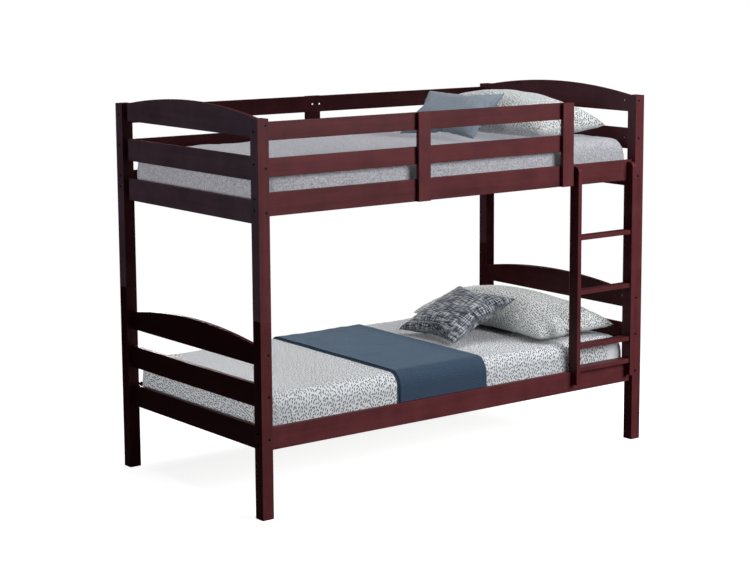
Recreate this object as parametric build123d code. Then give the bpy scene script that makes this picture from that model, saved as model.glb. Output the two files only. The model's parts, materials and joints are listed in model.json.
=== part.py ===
from build123d import *
import os

# Twin-over-twin bunk bed with a ladder, dressed with bedding. Millimetres, +Z up.
# +X runs from the foot end to the head end, where the ladder is, and the front faces -Y.
# The origin is on the floor, in the middle of the whole object's footprint.

# ---- Driving dimensions: the timber frame ----
length = 2019.0  # over the posts, foot end to head end
depth = 1054.0  # over the posts, front to rear
post_size = 51.0  # square section of every post
board = 19.0  # thickness of the rails, panels and rungs
rail_recess = 17.0  # side rails' outer faces, behind the posts' outer faces
end_recess = 24.5  # end rails' outer faces, behind the posts' end faces
edge_round = 2.0  # rounded arrises of the timber
end_round = 1.0  # eased edges at the ends of the posts and the upright boards
post_seam = 772.0  # height where the lower posts stop and the upper posts start
post_top = 1537.0
bunk_rise = 871.0  # from an end rail of the lower bunk to the same rail of the upper one
housing = 6.0  # how far the end rails are let into the posts

end_rail_tall = 90.0
end_bottom_rail = 265.0  # undersides, lower bunk
end_middle_rail = 429.5
arch_underside = 593.0
arch_shoulder = 664.0  # the arch's top where it meets the posts
arch_crown = 705.0

side_rail_tall = 89.0
lower_side_rail = 266.5  # undersides
upper_side_rail = 1167.5
guard_tall = 70.0
guard_middle = 1316.0
guard_top = 1453.0
guard_board = 17.0  # thickness of the upright boards screwed outside the rails

front_board_span = 62.0
front_board_places = (762.0, 1540.0)  # left edges, from the foot end
rear_board_span = 75.0
rear_board_place = 948.0

# ---- Driving dimensions: slats and fasteners ----
cleat = 20.0  # square section of the ledger under the slats
cleat_lift = 4.0  # above the side rail's underside
cleat_inset = 100.0  # from the foot and head faces of the posts
slat_count = 14
slat_wide = 60.0
slat_thick = 12.0
slat_play = 2.0  # between a slat's end and the side rail

bolt_radius = 2.95
bolt_head = (6.0, 6.0)  # radius, height
bolt_bore = 3.25
counterbore = (6.5, 9.0)  # radius, depth
bolt_reach = 86.0  # from the post's face to the bolt's tip
hex_key = 5.0  # across flats
nut_place = 81.0  # centre of the barrel nut, from the post's face
nut = (5.0, 12.0)  # radius, length
nut_bore = (5.1, 16.0)
side_bolt_heights = (24.5, 69.5)  # above the side rail's underside
end_bolt_heights = (48.0, 213.0, 376.0)  # above the end bottom rail's underside
guard_bolt_heights = (50.0, 35.0)  # above the middle and the top guard rail's underside

screw_radius = 1.9
screw_head = (4.0, 3.0)
screw_hole = 2.0
pin = (4.75, 80.0)  # stacking pin: radius, length
pin_play = 0.05
lift_play = 0.08

# ---- Driving dimensions: the ladder ----
ladder_proud = 18.0  # stands this far in front of the posts
stile_wide = 21.0
stile_deep = 54.0
stile_place = (1614.5, 1935.5)  # left faces, from the foot end
stile_top = 1249.0
stile_foot = 301.0
stile_round = 22.0
rung_tops = (375.0, 474.5, 713.0, 950.0)
rung_setback = 7.0  # behind the stiles' front edges
rung_housing = 4.0
ladder_play = 0.5  # between the ladder and the rails it laps

# ---- Driving dimensions: the bedding ----
mattress_long = 1897.0
mattress_wide = 953.0
mattress_corner = 60.0
mattress_edge = 38.0
sheet_thick = 2.0
lower_bed_top = 468.0
upper_bed_top = 1345.0
rest_play = 0.4  # between soft pieces that lie on each other
throw_span = (700.0, 1163.0)  # from the foot end
throw_thick = 5.0
throw_hem = 322.0  # height of the throw's tucked ends

# ---- Places worked out from the driving dimensions ----
foot = -length / 2
head = length / 2
front = -(depth - ladder_proud) / 2
rear = front + depth
inner_front = front + rail_recess + board
inner_rear = rear - rail_recess - board
middle_y = (front + rear) / 2
slat_lift = cleat_lift + cleat + slat_thick


def block(x, y, z):
    """A box from its low and high limits along each axis."""
    centre = Pos((x[0] + x[1]) / 2, (y[0] + y[1]) / 2, (z[0] + z[1]) / 2)
    return centre * Box(x[1] - x[0], y[1] - y[0], z[1] - z[0])


def timber(x, y, z, run):
    """A board whose four long arrises, parallel to run, are rounded."""
    blank = block(x, y, z)
    return fillet(blank.edges().filter_by(run), edge_round)


def eased(shape):
    """An upright timber with the edges of its two ends eased."""
    ends = shape.faces().filter_by(Axis.Z)
    return fillet(ends.edges(), end_round)


def rod(radius, tall, point, way):
    """A round rod that starts at point and runs along way."""
    upright = Pos(0, 0, tall / 2) * Cylinder(radius, tall)
    return Plane(origin=point, z_dir=way).location * upright


def step_in(point, way, distance):
    """The point at a distance from point along way."""
    return tuple(p + w * distance for p, w in zip(point, way))


# ---- Fasteners ----
# A fastening is a point on the outer face and the direction in which the fastener goes in.


def bolt(point, way):
    """A hex-socket bolt whose head is sunk in its counterbore."""
    head_radius, head_tall = bolt_head
    sunk = step_in(point, way, counterbore[1] - head_tall)
    body = rod(head_radius, head_tall, sunk, way)
    body += rod(bolt_radius, bolt_reach - counterbore[1], step_in(point, way, counterbore[1]), way)
    socket = extrude(RegularPolygon(hex_key / 2, 6, major_radius=False), head_tall / 2)
    return body - Plane(origin=sunk, z_dir=way).location * socket


def bolt_way(point, way):
    """What a bolt removes from the timber: its counterbore and its bore."""
    bore = rod(bolt_bore, bolt_reach + 2, point, way)
    return bore + rod(counterbore[0], counterbore[1], point, way)


def barrel_nut(point, way, side):
    """The cross nut that the bolt screws into; its own axis runs along side."""
    radius, long = nut
    centre = step_in(point, way, nut_place)
    barrel = rod(radius, long, step_in(centre, side, -long / 2), side)
    return barrel - rod(bolt_radius + 0.05, 4 * radius, step_in(centre, way, -2 * radius), way)


def nut_way(point, way, side):
    """The bore for a barrel nut, open at the rail's inner face, which side points to."""
    radius, deep = nut_bore
    centre = step_in(point, way, nut_place)
    return rod(radius, deep, step_in(centre, side, board / 2 - deep), side)


def screw(point, way, long):
    """A wood screw with its head flush at point."""
    head_radius, head_tall = screw_head
    return rod(head_radius, head_tall, point, way) + rod(screw_radius, long, point, way)


def screw_way(point, way, long):
    """The hole that a wood screw sits in."""
    head_radius, head_tall = screw_head
    sink = rod(head_radius + 0.1, head_tall, point, way)
    return sink + rod(screw_hole, long + 1, point, way)


def end_bolts(lift):
    """Bolts through the posts' front and rear faces into the end rails."""
    places = []
    for x, side in ((foot + end_recess + board / 2, 1), (head - end_recess - board / 2, -1)):
        for y, way in ((front, 1), (rear, -1)):
            for height in end_bolt_heights:
                point = (x, y, end_bottom_rail + lift + height)
                places.append((point, (0, way, 0), (side, 0, 0)))
    return places


def side_bolts(height, faces, ends=(1, -1)):
    """Bolts through the posts' end faces into a rail that runs along the bed."""
    places = []
    for end in ends:
        x = foot if end > 0 else head
        for face in faces:
            y = front + rail_recess + board / 2 if face > 0 else rear - rail_recess - board / 2
            places.append(((x, y, height), (end, 0, 0), (0, face, 0)))
    return places


def bunk_bolts(lift, side_rail):
    """Every bolt of a bunk's two ends and two side rails."""
    places = end_bolts(lift)
    for height in side_bolt_heights:
        places += side_bolts(side_rail + height, (1, -1))
    return places


lower_bolts = bunk_bolts(0, lower_side_rail)
upper_bolts = bunk_bolts(bunk_rise, upper_side_rail)
for rail_under, rise in zip((guard_middle, guard_top), guard_bolt_heights):
    upper_bolts += side_bolts(rail_under + rise, (1,), ends=(1,))
    upper_bolts += side_bolts(rail_under + rise, (-1,))


def near(shape, places, point_of=lambda place: place[0], reach=100.0):
    """The places that could touch a shape, to keep the cuts few."""
    box = shape.bounding_box()
    low = (box.min.X - reach, box.min.Y - reach, box.min.Z - reach)
    high = (box.max.X + reach, box.max.Y + reach, box.max.Z + reach)
    return [p for p in places if all(a <= c <= b for a, c, b in zip(low, point_of(p), high))]


def bored(shape, places):
    """The timber with the bores of its bolts and barrel nuts."""
    for point, way, side in near(shape, places):
        shape = shape - bolt_way(point, way) - nut_way(point, way, side)
    return shape


def screwed(shape, screws):
    """The timber with the holes of its screws."""
    for point, way, long in near(shape, screws):
        shape = shape - screw_way(point, way, long)
    return shape


# ---- Posts ----


def post_spans(x_side, y_side):
    """A post's limits across, from the corner that it stands in."""
    x = (foot, foot + post_size) if x_side < 0 else (head - post_size, head)
    y = (front, front + post_size) if y_side < 0 else (rear - post_size, rear)
    return x, y


def end_rail_span():
    """The end rails' limits across the bed, let into the posts."""
    return front + post_size - housing, rear - post_size + housing


def post(x_side, y_side, z, heights, places):
    """One half post: rounded arrises, housings for the end rails, bores for the bolts."""
    x, y = post_spans(x_side, y_side)
    shape = eased(timber(x, y, z, Axis.Z))
    x_rail = end_plane(x_side)
    for low, high in heights:
        shape = shape - block(x_rail, end_rail_span(), (low, high))
    centre = ((x[0] + x[1]) / 2, (y[0] + y[1]) / 2)
    play = pin_play if z[0] == 0 else lift_play
    half_pin = pin[1] / 2 + 1
    shape = shape - rod(pin[0] + play, 2 * half_pin, (*centre, post_seam - half_pin), (0, 0, 1))
    return bored(shape, places)


def end_plane(x_side):
    """The end rails' limits along the bed, at the foot or the head."""
    if x_side < 0:
        return foot + end_recess, foot + end_recess + board
    return head - end_recess - board, head - end_recess


def housings(lift):
    """Heights of the three housings that a half post has."""
    return (
        (end_bottom_rail + lift, end_bottom_rail + lift + end_rail_tall),
        (end_middle_rail + lift, end_middle_rail + lift + end_rail_tall),
        (arch_underside + lift, arch_shoulder + lift + 1.5),
    )


# ---- End rails and arched panels ----


def end_rail(x_side, under, places):
    """A plain rail between the posts at one end."""
    shape = timber(end_plane(x_side), end_rail_span(), (under, under + end_rail_tall), Axis.Y)
    return bored(shape, places)


def arch_panel(x_side, lift, places):
    """The end's top panel: flat below, one shallow arc from post to post above."""
    y = end_rail_span()
    low, shoulder, crown = (h + lift for h in (arch_underside, arch_shoulder, arch_crown))
    side = Line((y[0], low), (y[1], low))
    rise = Line((y[1], low), (y[1], shoulder))
    arc = ThreePointArc((y[1], shoulder), (middle_y, crown), (y[0], shoulder))
    fall = Line((y[0], shoulder), (y[0], low))
    outline = make_face(Curve() + [side, rise, arc, fall])
    panel = extrude(Plane.YZ * outline, board)
    panel = Pos(end_plane(x_side)[0], 0, 0) * panel
    long_edges = [e for e in panel.edges() if e.length > depth / 2]
    return bored(fillet(long_edges, edge_round), places)


# ---- Rails along the bed and guard boards ----


def rail_plane(y_side):
    """Limits across the bed of the rails on the front or the rear."""
    if y_side < 0:
        return front + rail_recess, inner_front
    return inner_rear, rear - rail_recess


def side_rail(y_side, under, places, screws):
    """A full-length rail that carries the slats."""
    x = (foot + post_size, head - post_size)
    shape = timber(x, rail_plane(y_side), (under, under + side_rail_tall), Axis.X)
    return screwed(bored(shape, places), screws)


def guard_rail(y_side, under, places, screws):
    """A guard rail; the front ones stop behind the board beside the ladder."""
    stop = head - post_size
    if y_side < 0:
        stop = foot + front_board_places[1] + front_board_span - 2.0
    shape = timber((foot + post_size, stop), rail_plane(y_side), (under, under + guard_tall), Axis.X)
    return screwed(bored(shape, places), screws)


def upright_board(y_side, place, span, screws):
    """An upright board on the outside of the rails."""
    y = (front, front + guard_board) if y_side < 0 else (rear - guard_board, rear)
    x = (foot + place, foot + place + span)
    return screwed(eased(timber(x, y, (upper_side_rail, guard_top + guard_tall), Axis.Z)), screws)


def board_screws():
    """Two screws where each upright board crosses each rail, driven from inside."""
    boards = [(-1, place, front_board_span) for place in front_board_places]
    boards.append((1, rear_board_place, rear_board_span))
    levels = (upper_side_rail + 52.0, guard_middle + guard_tall / 2, guard_top + guard_tall / 2)
    screws = []
    for y_side, place, span in boards:
        y = inner_front if y_side < 0 else inner_rear
        for level in levels:
            for share in (0.25, 0.75):
                screws.append(((foot + place + span * share, y, level), (0, y_side, 0), 30.0))
    return screws


# ---- Slats on their ledgers ----


def slat_places():
    """Centres of the slats along the bed."""
    first = foot + cleat_inset + slat_wide / 2
    pitch = (length - 2 * cleat_inset - slat_wide) / (slat_count - 1)
    return [first + pitch * i for i in range(slat_count)]


def cleat_lines():
    """Each ledger's limits across the bed, with the direction towards its rail."""
    return (
        ((inner_front, inner_front + cleat), -1),
        ((inner_rear - cleat, inner_rear), 1),
    )


def slat_screws(under):
    """One screw down through each end of each slat."""
    top = under + slat_lift
    centres = [sum(y) / 2 for y, way in cleat_lines()]
    return [((x, y, top), (0, 0, -1), 25.0) for x in slat_places() for y in centres]


def cleat_screws(under):
    """Screws through the ledgers into the side rails, midway between slats."""
    centres = slat_places()
    screws = []
    for i in range(0, slat_count - 1, 3):
        x = (centres[i] + centres[i + 1]) / 2
        for y, way in cleat_lines():
            face = y[1] if way < 0 else y[0]
            screws.append(((x, face, under + cleat_lift + cleat / 2), (0, way, 0), 33.0))
    return screws


def cleats(under, screws):
    """The two ledgers."""
    x = (foot + cleat_inset, head - cleat_inset)
    z = (under + cleat_lift, under + cleat_lift + cleat)
    return Compound(children=[screwed(block(x, y, z), screws) for y, way in cleat_lines()])


def slats(under, screws):
    """All the slats of a bunk."""
    y = (inner_front + slat_play, inner_rear - slat_play)
    z = (under + cleat_lift + cleat, under + slat_lift)
    made = []
    for x in slat_places():
        slat = timber((x - slat_wide / 2, x + slat_wide / 2), y, z, Axis.Y)
        made.append(screwed(slat, near_column(x, screws)))
    return Compound(children=made)


def near_column(x, screws):
    """The screws in the same slat."""
    return [s for s in screws if abs(s[0][0] - x) < slat_wide / 2]


# ---- Ladder ----


def stile_spans(place):
    """A stile's limits along the bed."""
    return foot + place, foot + place + stile_wide


def stile(place, screws, rung_screws):
    """A stile: notched over both side rails, with its top front corner rounded."""
    x = stile_spans(place)
    y = (front - ladder_proud, front - ladder_proud + stile_deep)
    shape = timber(x, y, (stile_foot, stile_top), Axis.Z)
    lap = front + rail_recess - ladder_play
    above = upper_side_rail - ladder_play
    below = lower_side_rail + side_rail_tall + ladder_play
    shape = shape - block(x, (lap, y[1] + 1), (above, stile_top + 1))
    shape = shape - block(x, (lap, y[1] + 1), (stile_foot - 1, below))
    corner = block(x, (y[0], y[0] + stile_round), (stile_top - stile_round, stile_top))
    hub = (x[0], y[0] + stile_round, stile_top - stile_round)
    corner = corner - rod(stile_round, stile_wide, hub, (1, 0, 0))
    shape = shape - corner
    for top in rung_tops:
        shape = shape - block(*rung_spans(top))
    for point, way, long in screws:
        shape = shape - rod(screw_radius + 0.6, long, point, way)
    return screwed(shape, rung_screws)


def rung_spans(top):
    """A rung's limits: its ends are let into both stiles."""
    x = (
        foot + stile_place[0] + stile_wide - rung_housing,
        foot + stile_place[1] + rung_housing,
    )
    y = (front - ladder_proud + rung_setback, front - ladder_proud + stile_deep)
    return x, y, (top - board, top)


def rung(top, rung_screws):
    """A flat tread between the stiles."""
    return screwed(timber(*rung_spans(top), Axis.X), rung_screws)


def rung_screw_places():
    """One screw through each stile's outer face into each rung."""
    y = front - ladder_proud + rung_setback + (stile_deep - rung_setback) / 2
    screws = []
    for top in rung_tops:
        for x, way in ((stile_spans(stile_place[0])[0], 1), (stile_spans(stile_place[1])[1], -1)):
            screws.append(((x, y, top - board / 2), (way, 0, 0), 45.0))
    return screws


def ladder_screws():
    """One screw from behind the upper side rail into each stile's upper lap."""
    level = upper_side_rail + 45.0
    return [((sum(stile_spans(p)) / 2, inner_front, level), (0, -1, 0), 34.0) for p in stile_place]


# ---- Bedding ----


def mattress_blank(grow, under, top):
    """A mattress-shaped block with rounded corners and a rounded top edge."""
    shape = block(
        (-mattress_long / 2 - grow, mattress_long / 2 + grow),
        (middle_y - mattress_wide / 2 - grow, middle_y + mattress_wide / 2 + grow),
        (under, top + grow),
    )
    shape = fillet(shape.edges().filter_by(Axis.Z), mattress_corner + grow)
    return fillet(shape.faces().sort_by(Axis.Z)[-1].edges(), mattress_edge + grow)


def mattress(rail_under, bed_top):
    """The mattress, under its sheet and on its slats."""
    return mattress_blank(0, rail_under + slat_lift + rest_play, bed_top - sheet_thick)


def fitted_sheet(rail_under, bed_top):
    """The cloth over a mattress's top and sides, open below."""
    under = rail_under + slat_lift + rest_play
    cover = mattress_blank(sheet_thick, under, bed_top - sheet_thick)
    return cover - mattress(rail_under, bed_top)


def throw_blanket():
    """The folded throw: over the bed from side to side, its ends tucked inside the rails."""
    reach = mattress_wide / 2 + sheet_thick + rest_play
    under = lower_bed_top + rest_play
    x = (foot + throw_span[0], foot + throw_span[1])

    def channel(grow, low):
        shape = block(x, (middle_y - reach - grow, middle_y + reach + grow), (low, under + grow))
        top_edges = shape.faces().sort_by(Axis.Z)[-1].edges().filter_by(Axis.X)
        return fillet(top_edges, mattress_edge + sheet_thick + grow)

    return channel(throw_thick, throw_hem) - channel(0, throw_hem - 1)


def stuffed(wide, deep, crown, belly):
    """A pillow form, wide across the bed: thin at its rim, crowned above, fuller below."""
    levels = (
        (-belly, 0.62),
        (-0.6 * belly, 0.88),
        (0.0, 1.0),
        (0.55 * crown, 0.86),
        (0.85 * crown, 0.66),
        (crown, 0.4),
    )
    rim = [Pos(0, 0, z) * Rectangle(deep * share, wide * share) for z, share in levels]
    return loft(rim, ruled=True)


def laid(form, place, tilt, turn):
    """A soft form set down with its head-side edge raised by tilt, then turned on plan."""
    return Pos(foot + place[0], front + place[1], place[2]) * Rot(0, 0, turn) * Rot(0, -tilt, 0) * form


def bedding():
    """The loose soft pieces; each place is along the bed, across it, and above the floor."""
    return {
        "lower_pillow": laid(stuffed(866, 462, 115, 52), (1702, 512, lower_bed_top + 56.6), 1.5, 1),
        "lower_cushion": laid(stuffed(415, 385, 58, 52), (1354, 481, 574), 25, -3),
        "upper_pillow": laid(stuffed(860, 440, 135, 58), (1712, 570, upper_bed_top + 62.6), 1.5, -1),
        "upper_cushion": laid(stuffed(415, 300, 52, 46), (1384, 554, 1452), 38, 14),
        "throw_blanket": throw_blanket(),
        "lower_mattress": mattress(lower_side_rail, lower_bed_top),
        "upper_mattress": mattress(upper_side_rail, upper_bed_top),
        "lower_fitted_sheet": fitted_sheet(lower_side_rail, lower_bed_top),
        "upper_fitted_sheet": fitted_sheet(upper_side_rail, upper_bed_top),
    }


# ---- Assembly ----


def bunk(name, lift, side_under, post_z, places, rail_screws):
    """The pieces that both bunks have."""
    made = {}
    bed_screws = slat_screws(side_under) + cleat_screws(side_under)
    for y_side, y_name in ((-1, "front"), (1, "rear")):
        rail_holes = bed_screws + rail_screws
        made[f"{name}_side_rail_{y_name}"] = side_rail(y_side, side_under, places, rail_holes)
        for x_side, x_name in ((-1, "foot"), (1, "head")):
            shape = post(x_side, y_side, post_z, housings(lift), places)
            made[f"{name}_post_{y_name}_{x_name}"] = shape
    for x_side, x_name in ((-1, "foot"), (1, "head")):
        made[f"{name}_{x_name}_bottom_rail"] = end_rail(x_side, end_bottom_rail + lift, places)
        made[f"{name}_{x_name}_middle_rail"] = end_rail(x_side, end_middle_rail + lift, places)
        made[f"{name}_{x_name}_arch_panel"] = arch_panel(x_side, lift, places)
    made[f"{name}_slat_cleats"] = cleats(side_under, bed_screws)
    made[f"{name}_slats"] = slats(side_under, bed_screws)
    made[f"{name}_slat_screws"] = Compound(children=[screw(*s) for s in bed_screws])
    made[f"{name}_bolts"] = Compound(children=[bolt(p, way) for p, way, side in places])
    made[f"{name}_barrel_nuts"] = Compound(children=[barrel_nut(*place) for place in places])
    return made


def guards(screws):
    """The upper bunk's guard rails and upright boards."""
    made = {}
    for y_side, y_name in ((-1, "front"), (1, "rear")):
        made[f"{y_name}_guard_top_rail"] = guard_rail(y_side, guard_top, upper_bolts, screws)
        made[f"{y_name}_guard_middle_rail"] = guard_rail(y_side, guard_middle, upper_bolts, screws)
    for place, x_name in zip(front_board_places, ("foot", "head")):
        made[f"front_guard_board_{x_name}"] = upright_board(-1, place, front_board_span, screws)
    made["rear_guard_board"] = upright_board(1, rear_board_place, rear_board_span, screws)
    return made


def ladder():
    """Two stiles, four rungs and their screws."""
    places = rung_screw_places()
    made = {"ladder_rung_screws": Compound(children=[screw(*s) for s in places])}
    for place, name in zip(stile_place, ("inner", "outer")):
        made[f"ladder_stile_{name}"] = stile(place, ladder_screws(), places)
    for i, top in enumerate(rung_tops):
        made[f"ladder_rung_{i + 1}"] = rung(top, places)
    return made


def stacking_pins():
    """The loose pins that locate the upper posts on the lower ones."""
    pins = []
    for x_side in (-1, 1):
        for y_side in (-1, 1):
            x, y = post_spans(x_side, y_side)
            start = (sum(x) / 2, sum(y) / 2, post_seam - pin[1] / 2)
            pins.append(rod(pin[0], pin[1], start, (0, 0, 1)))
    return Compound(children=pins)


def assembly():
    """Every piece of the bed, by name."""
    inside_screws = board_screws() + ladder_screws()
    made = bunk("lower", 0, lower_side_rail, (0, post_seam), lower_bolts, [])
    upper_z = (post_seam, post_top)
    made |= bunk("upper", bunk_rise, upper_side_rail, upper_z, upper_bolts, inside_screws)
    made |= guards(board_screws())
    made |= ladder()
    made["guard_and_ladder_screws"] = Compound(children=[screw(*s) for s in inside_screws])
    made["stacking_pins"] = stacking_pins()
    made |= bedding()
    return made


os.makedirs("parts", exist_ok=True)
for name, shape in assembly().items():
    export_step(shape, f"parts/{name}.step")
    size = shape.bounding_box().size
    print(f"{name}: {len(shape.solids())} solids, {size.X:.0f} x {size.Y:.0f} x {size.Z:.0f} mm")
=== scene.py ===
# %% [markdown]
# # A bunk bed with a ladder
# The timber comes ready made: the CAD model is loaded as a fixed frame, and its boards keep their shape.
# This lesson gives them a stained finish, then makes the bedding in mesh code and cloth simulation.
# Everything is in metres: X runs to the head end, -Y is the front, and Z is up from the floor.

# %% Load the frame
import json
import math
import bpy
import numpy as np
from mathutils import Matrix, Vector, noise

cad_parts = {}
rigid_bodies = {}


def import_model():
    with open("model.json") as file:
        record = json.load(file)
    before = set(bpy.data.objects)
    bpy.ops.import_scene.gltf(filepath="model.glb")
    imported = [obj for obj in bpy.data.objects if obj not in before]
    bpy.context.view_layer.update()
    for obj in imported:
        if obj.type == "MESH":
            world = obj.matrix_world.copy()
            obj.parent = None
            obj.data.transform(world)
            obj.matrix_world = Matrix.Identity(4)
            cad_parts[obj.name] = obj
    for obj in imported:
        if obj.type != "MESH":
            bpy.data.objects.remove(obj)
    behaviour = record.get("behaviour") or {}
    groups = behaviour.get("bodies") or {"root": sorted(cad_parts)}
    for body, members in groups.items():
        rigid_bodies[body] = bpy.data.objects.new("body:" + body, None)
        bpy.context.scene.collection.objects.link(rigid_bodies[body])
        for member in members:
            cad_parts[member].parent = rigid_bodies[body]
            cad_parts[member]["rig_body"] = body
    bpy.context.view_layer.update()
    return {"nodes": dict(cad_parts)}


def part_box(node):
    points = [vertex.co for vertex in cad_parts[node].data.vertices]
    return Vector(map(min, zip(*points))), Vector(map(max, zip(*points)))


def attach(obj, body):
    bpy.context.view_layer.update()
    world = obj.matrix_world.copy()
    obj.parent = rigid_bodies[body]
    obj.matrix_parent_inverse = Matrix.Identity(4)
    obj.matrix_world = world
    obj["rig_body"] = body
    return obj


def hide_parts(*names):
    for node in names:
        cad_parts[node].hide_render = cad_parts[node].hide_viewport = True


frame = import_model()
nodes = frame["nodes"]
print("CAD nodes:", len(nodes))

# %% [markdown]
# ## The camera
# A long lens a few metres away keeps the upright posts nearly parallel, as a furniture picture has them.
# The camera looks along the bed from the foot end, a little from above. A small lens shift centres the bed.

# %% Camera
YAW = math.radians(39.314)
PITCH = math.radians(8.549)
camera_data = bpy.data.cameras.new("camera")
camera_data.lens = 90.74
camera_data.sensor_width = 36.0
camera_data.shift_x = -0.1
camera_data.shift_y = -0.05
camera = bpy.data.objects.new("camera", camera_data)
camera.location = (-4.8793, -6.3691, 2.1202)
camera.rotation_euler = (math.pi / 2 - PITCH, 0.0, -YAW)
bpy.context.scene.collection.objects.link(camera)
bpy.context.scene.camera = camera
bpy.context.scene.view_settings.view_transform = "Standard"
print("camera at", tuple(round(c, 2) for c in camera.location))

# %% [markdown]
# ## Wiring nodes
# A material is a small tree of nodes. Three short helpers add a node, mix two colours and do sums,
# so that each finish below reads as a list of what feeds what.


# %% Node helpers
def add(tree, kind, sockets=None, **settings):
    """Adds a node. Each socket takes a plain value, or another node's output to link."""
    made = tree.nodes.new("ShaderNode" + kind)
    for name, value in settings.items():
        setattr(made, name, value)
    for name, value in (sockets or {}).items():
        socket = made.inputs[name]
        if isinstance(value, bpy.types.NodeSocket):
            tree.links.new(value, socket)
        else:
            socket.default_value = value
    return made


def mixed(tree, share, first, second):
    """Mixes two colours and gives the result."""
    made = add(tree, "Mix", data_type="RGBA", blend_type="MIX")
    for place, value in ((0, share), (6, first), (7, second)):
        if isinstance(value, bpy.types.NodeSocket):
            tree.links.new(value, made.inputs[place])
        else:
            made.inputs[place].default_value = value
    return made.outputs[2]


def sums(tree, how, *values):
    """One step of arithmetic."""
    made = add(tree, "Math", operation=how)
    for place, value in enumerate(values):
        if isinstance(value, bpy.types.NodeSocket):
            tree.links.new(value, made.inputs[place])
        else:
            made.inputs[place].default_value = value
    return made.outputs[0]


def spread(tree, value, low, high, out_low=0.0, out_high=1.0):
    """Stretches part of a mask's range over a new range."""
    made = add(tree, "MapRange", {0: value, 1: low, 2: high, 3: out_low, 4: out_high})
    return made.outputs[0]


def new_group(name, inputs, outputs):
    """A node group with named sockets: the tree, its inputs and its outputs."""
    tree = bpy.data.node_groups.new(name, "ShaderNodeTree")
    kinds = {"value": "NodeSocketFloat", "vector": "NodeSocketVector", "colour": "NodeSocketColor"}
    for label, kind, default in inputs:
        socket = tree.interface.new_socket(name=label, in_out="INPUT", socket_type=kinds[kind])
        socket.default_value = default
    for label, kind in outputs:
        tree.interface.new_socket(name=label, in_out="OUTPUT", socket_type=kinds[kind])
    start = tree.nodes.new("NodeGroupInput")
    end = tree.nodes.new("NodeGroupOutput")
    return tree, start.outputs, end.inputs


def place_group(tree, group, sockets):
    """Puts a node group in a material, with this material's own values."""
    made = tree.nodes.new("ShaderNodeGroup")
    made.node_tree = group
    for name, value in sockets.items():
        if isinstance(value, bpy.types.NodeSocket):
            tree.links.new(value, made.inputs[name])
        else:
            made.inputs[name].default_value = value
    return made.outputs


def new_material(name, **shader):
    """A material with one Principled shader, whose plain values are set on its own sockets."""
    material = bpy.data.materials.new(name)
    material.use_nodes = True
    tree = material.node_tree
    principled = tree.nodes["Principled BSDF"]
    for label, value in shader.items():
        principled.inputs[label.replace("_", " ")].default_value = value
    return material, tree, principled


def bump(tree, principled, height, distance, strength=1.0):
    """Feeds a height to the shader's normal."""
    made = add(tree, "Bump", {"Height": height, "Distance": distance, "Strength": strength})
    tree.links.new(made.outputs[0], principled.inputs["Normal"])
    return made


# %% [markdown]
# ## The stained wood
# The bed is a close-grained hardwood under a dark cherry stain and a satin lacquer.
# The grain hardly shows: long faint streaks, soft cloudy patches and a slight change from board to board.
# Stretching a noise along the board's length makes streaks, so the group takes the stretch as an input.


# %% Grain group
def build_grain():
    inputs = [
        ("Stretch", "vector", (1.0, 1.0, 0.05)),
        ("Deep stain", "colour", (0.05, 0.012, 0.014, 1.0)),
        ("Thin stain", "colour", (0.12, 0.03, 0.033, 1.0)),
        ("Streaks", "value", 0.5),
        ("Clouds", "value", 0.4),
    ]
    outputs = [("Colour", "colour"), ("Pores", "value"), ("Clouding", "value")]
    tree, given, result = new_group("stained_grain", inputs, outputs)
    place = add(tree, "TexCoord").outputs["Object"]
    piece = add(tree, "ObjectInfo").outputs["Random"]
    shift_x = sums(tree, "MULTIPLY", piece, 7.3)
    shift_y = sums(tree, "MULTIPLY", piece, 3.1)
    shift = add(tree, "CombineXYZ", {0: shift_x, 1: shift_y})
    moved = add(tree, "VectorMath", {0: place, 1: shift.outputs[0]}, operation="ADD").outputs[0]
    run = add(tree, "VectorMath", {0: moved, 1: given["Stretch"]}, operation="MULTIPLY").outputs[0]
    streak = add(tree, "TexNoise", {"Vector": run, "Scale": 70.0, "Detail": 4.0, "Roughness": 0.55})
    figure = add(tree, "TexNoise", {"Vector": run, "Scale": 16.0, "Detail": 2.0, "Distortion": 0.6})
    pores = add(tree, "TexNoise", {"Vector": run, "Scale": 420.0, "Detail": 2.0, "Roughness": 0.6})
    cloud = add(tree, "TexNoise", {"Vector": moved, "Scale": 9.0, "Detail": 3.0, "Roughness": 0.6})
    lines = spread(tree, streak.outputs[0], 0.3, 0.72)
    broad = spread(tree, figure.outputs[0], 0.32, 0.7)
    both = sums(tree, "ADD", sums(tree, "MULTIPLY", lines, 0.45), sums(tree, "MULTIPLY", broad, 0.55))
    mist = spread(tree, cloud.outputs[0], 0.32, 0.7)
    share = sums(tree, "MULTIPLY", sums(tree, "SUBTRACT", both, 0.5), given["Streaks"])
    patch = sums(tree, "MULTIPLY", sums(tree, "SUBTRACT", mist, 0.5), given["Clouds"])
    board = sums(tree, "MULTIPLY", sums(tree, "SUBTRACT", piece, 0.5), 0.22)
    total = sums(tree, "ADD", sums(tree, "ADD", share, patch), sums(tree, "ADD", board, 0.5))
    total = spread(tree, total, 0.0, 1.0)
    colour = mixed(tree, total, given["Deep stain"], given["Thin stain"])
    tree.links.new(colour, result["Colour"])
    tree.links.new(spread(tree, pores.outputs[0], 0.36, 0.52), result["Pores"])
    tree.links.new(mist, result["Clouding"])
    return tree


grain = build_grain()
print("built", grain.name)
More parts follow.
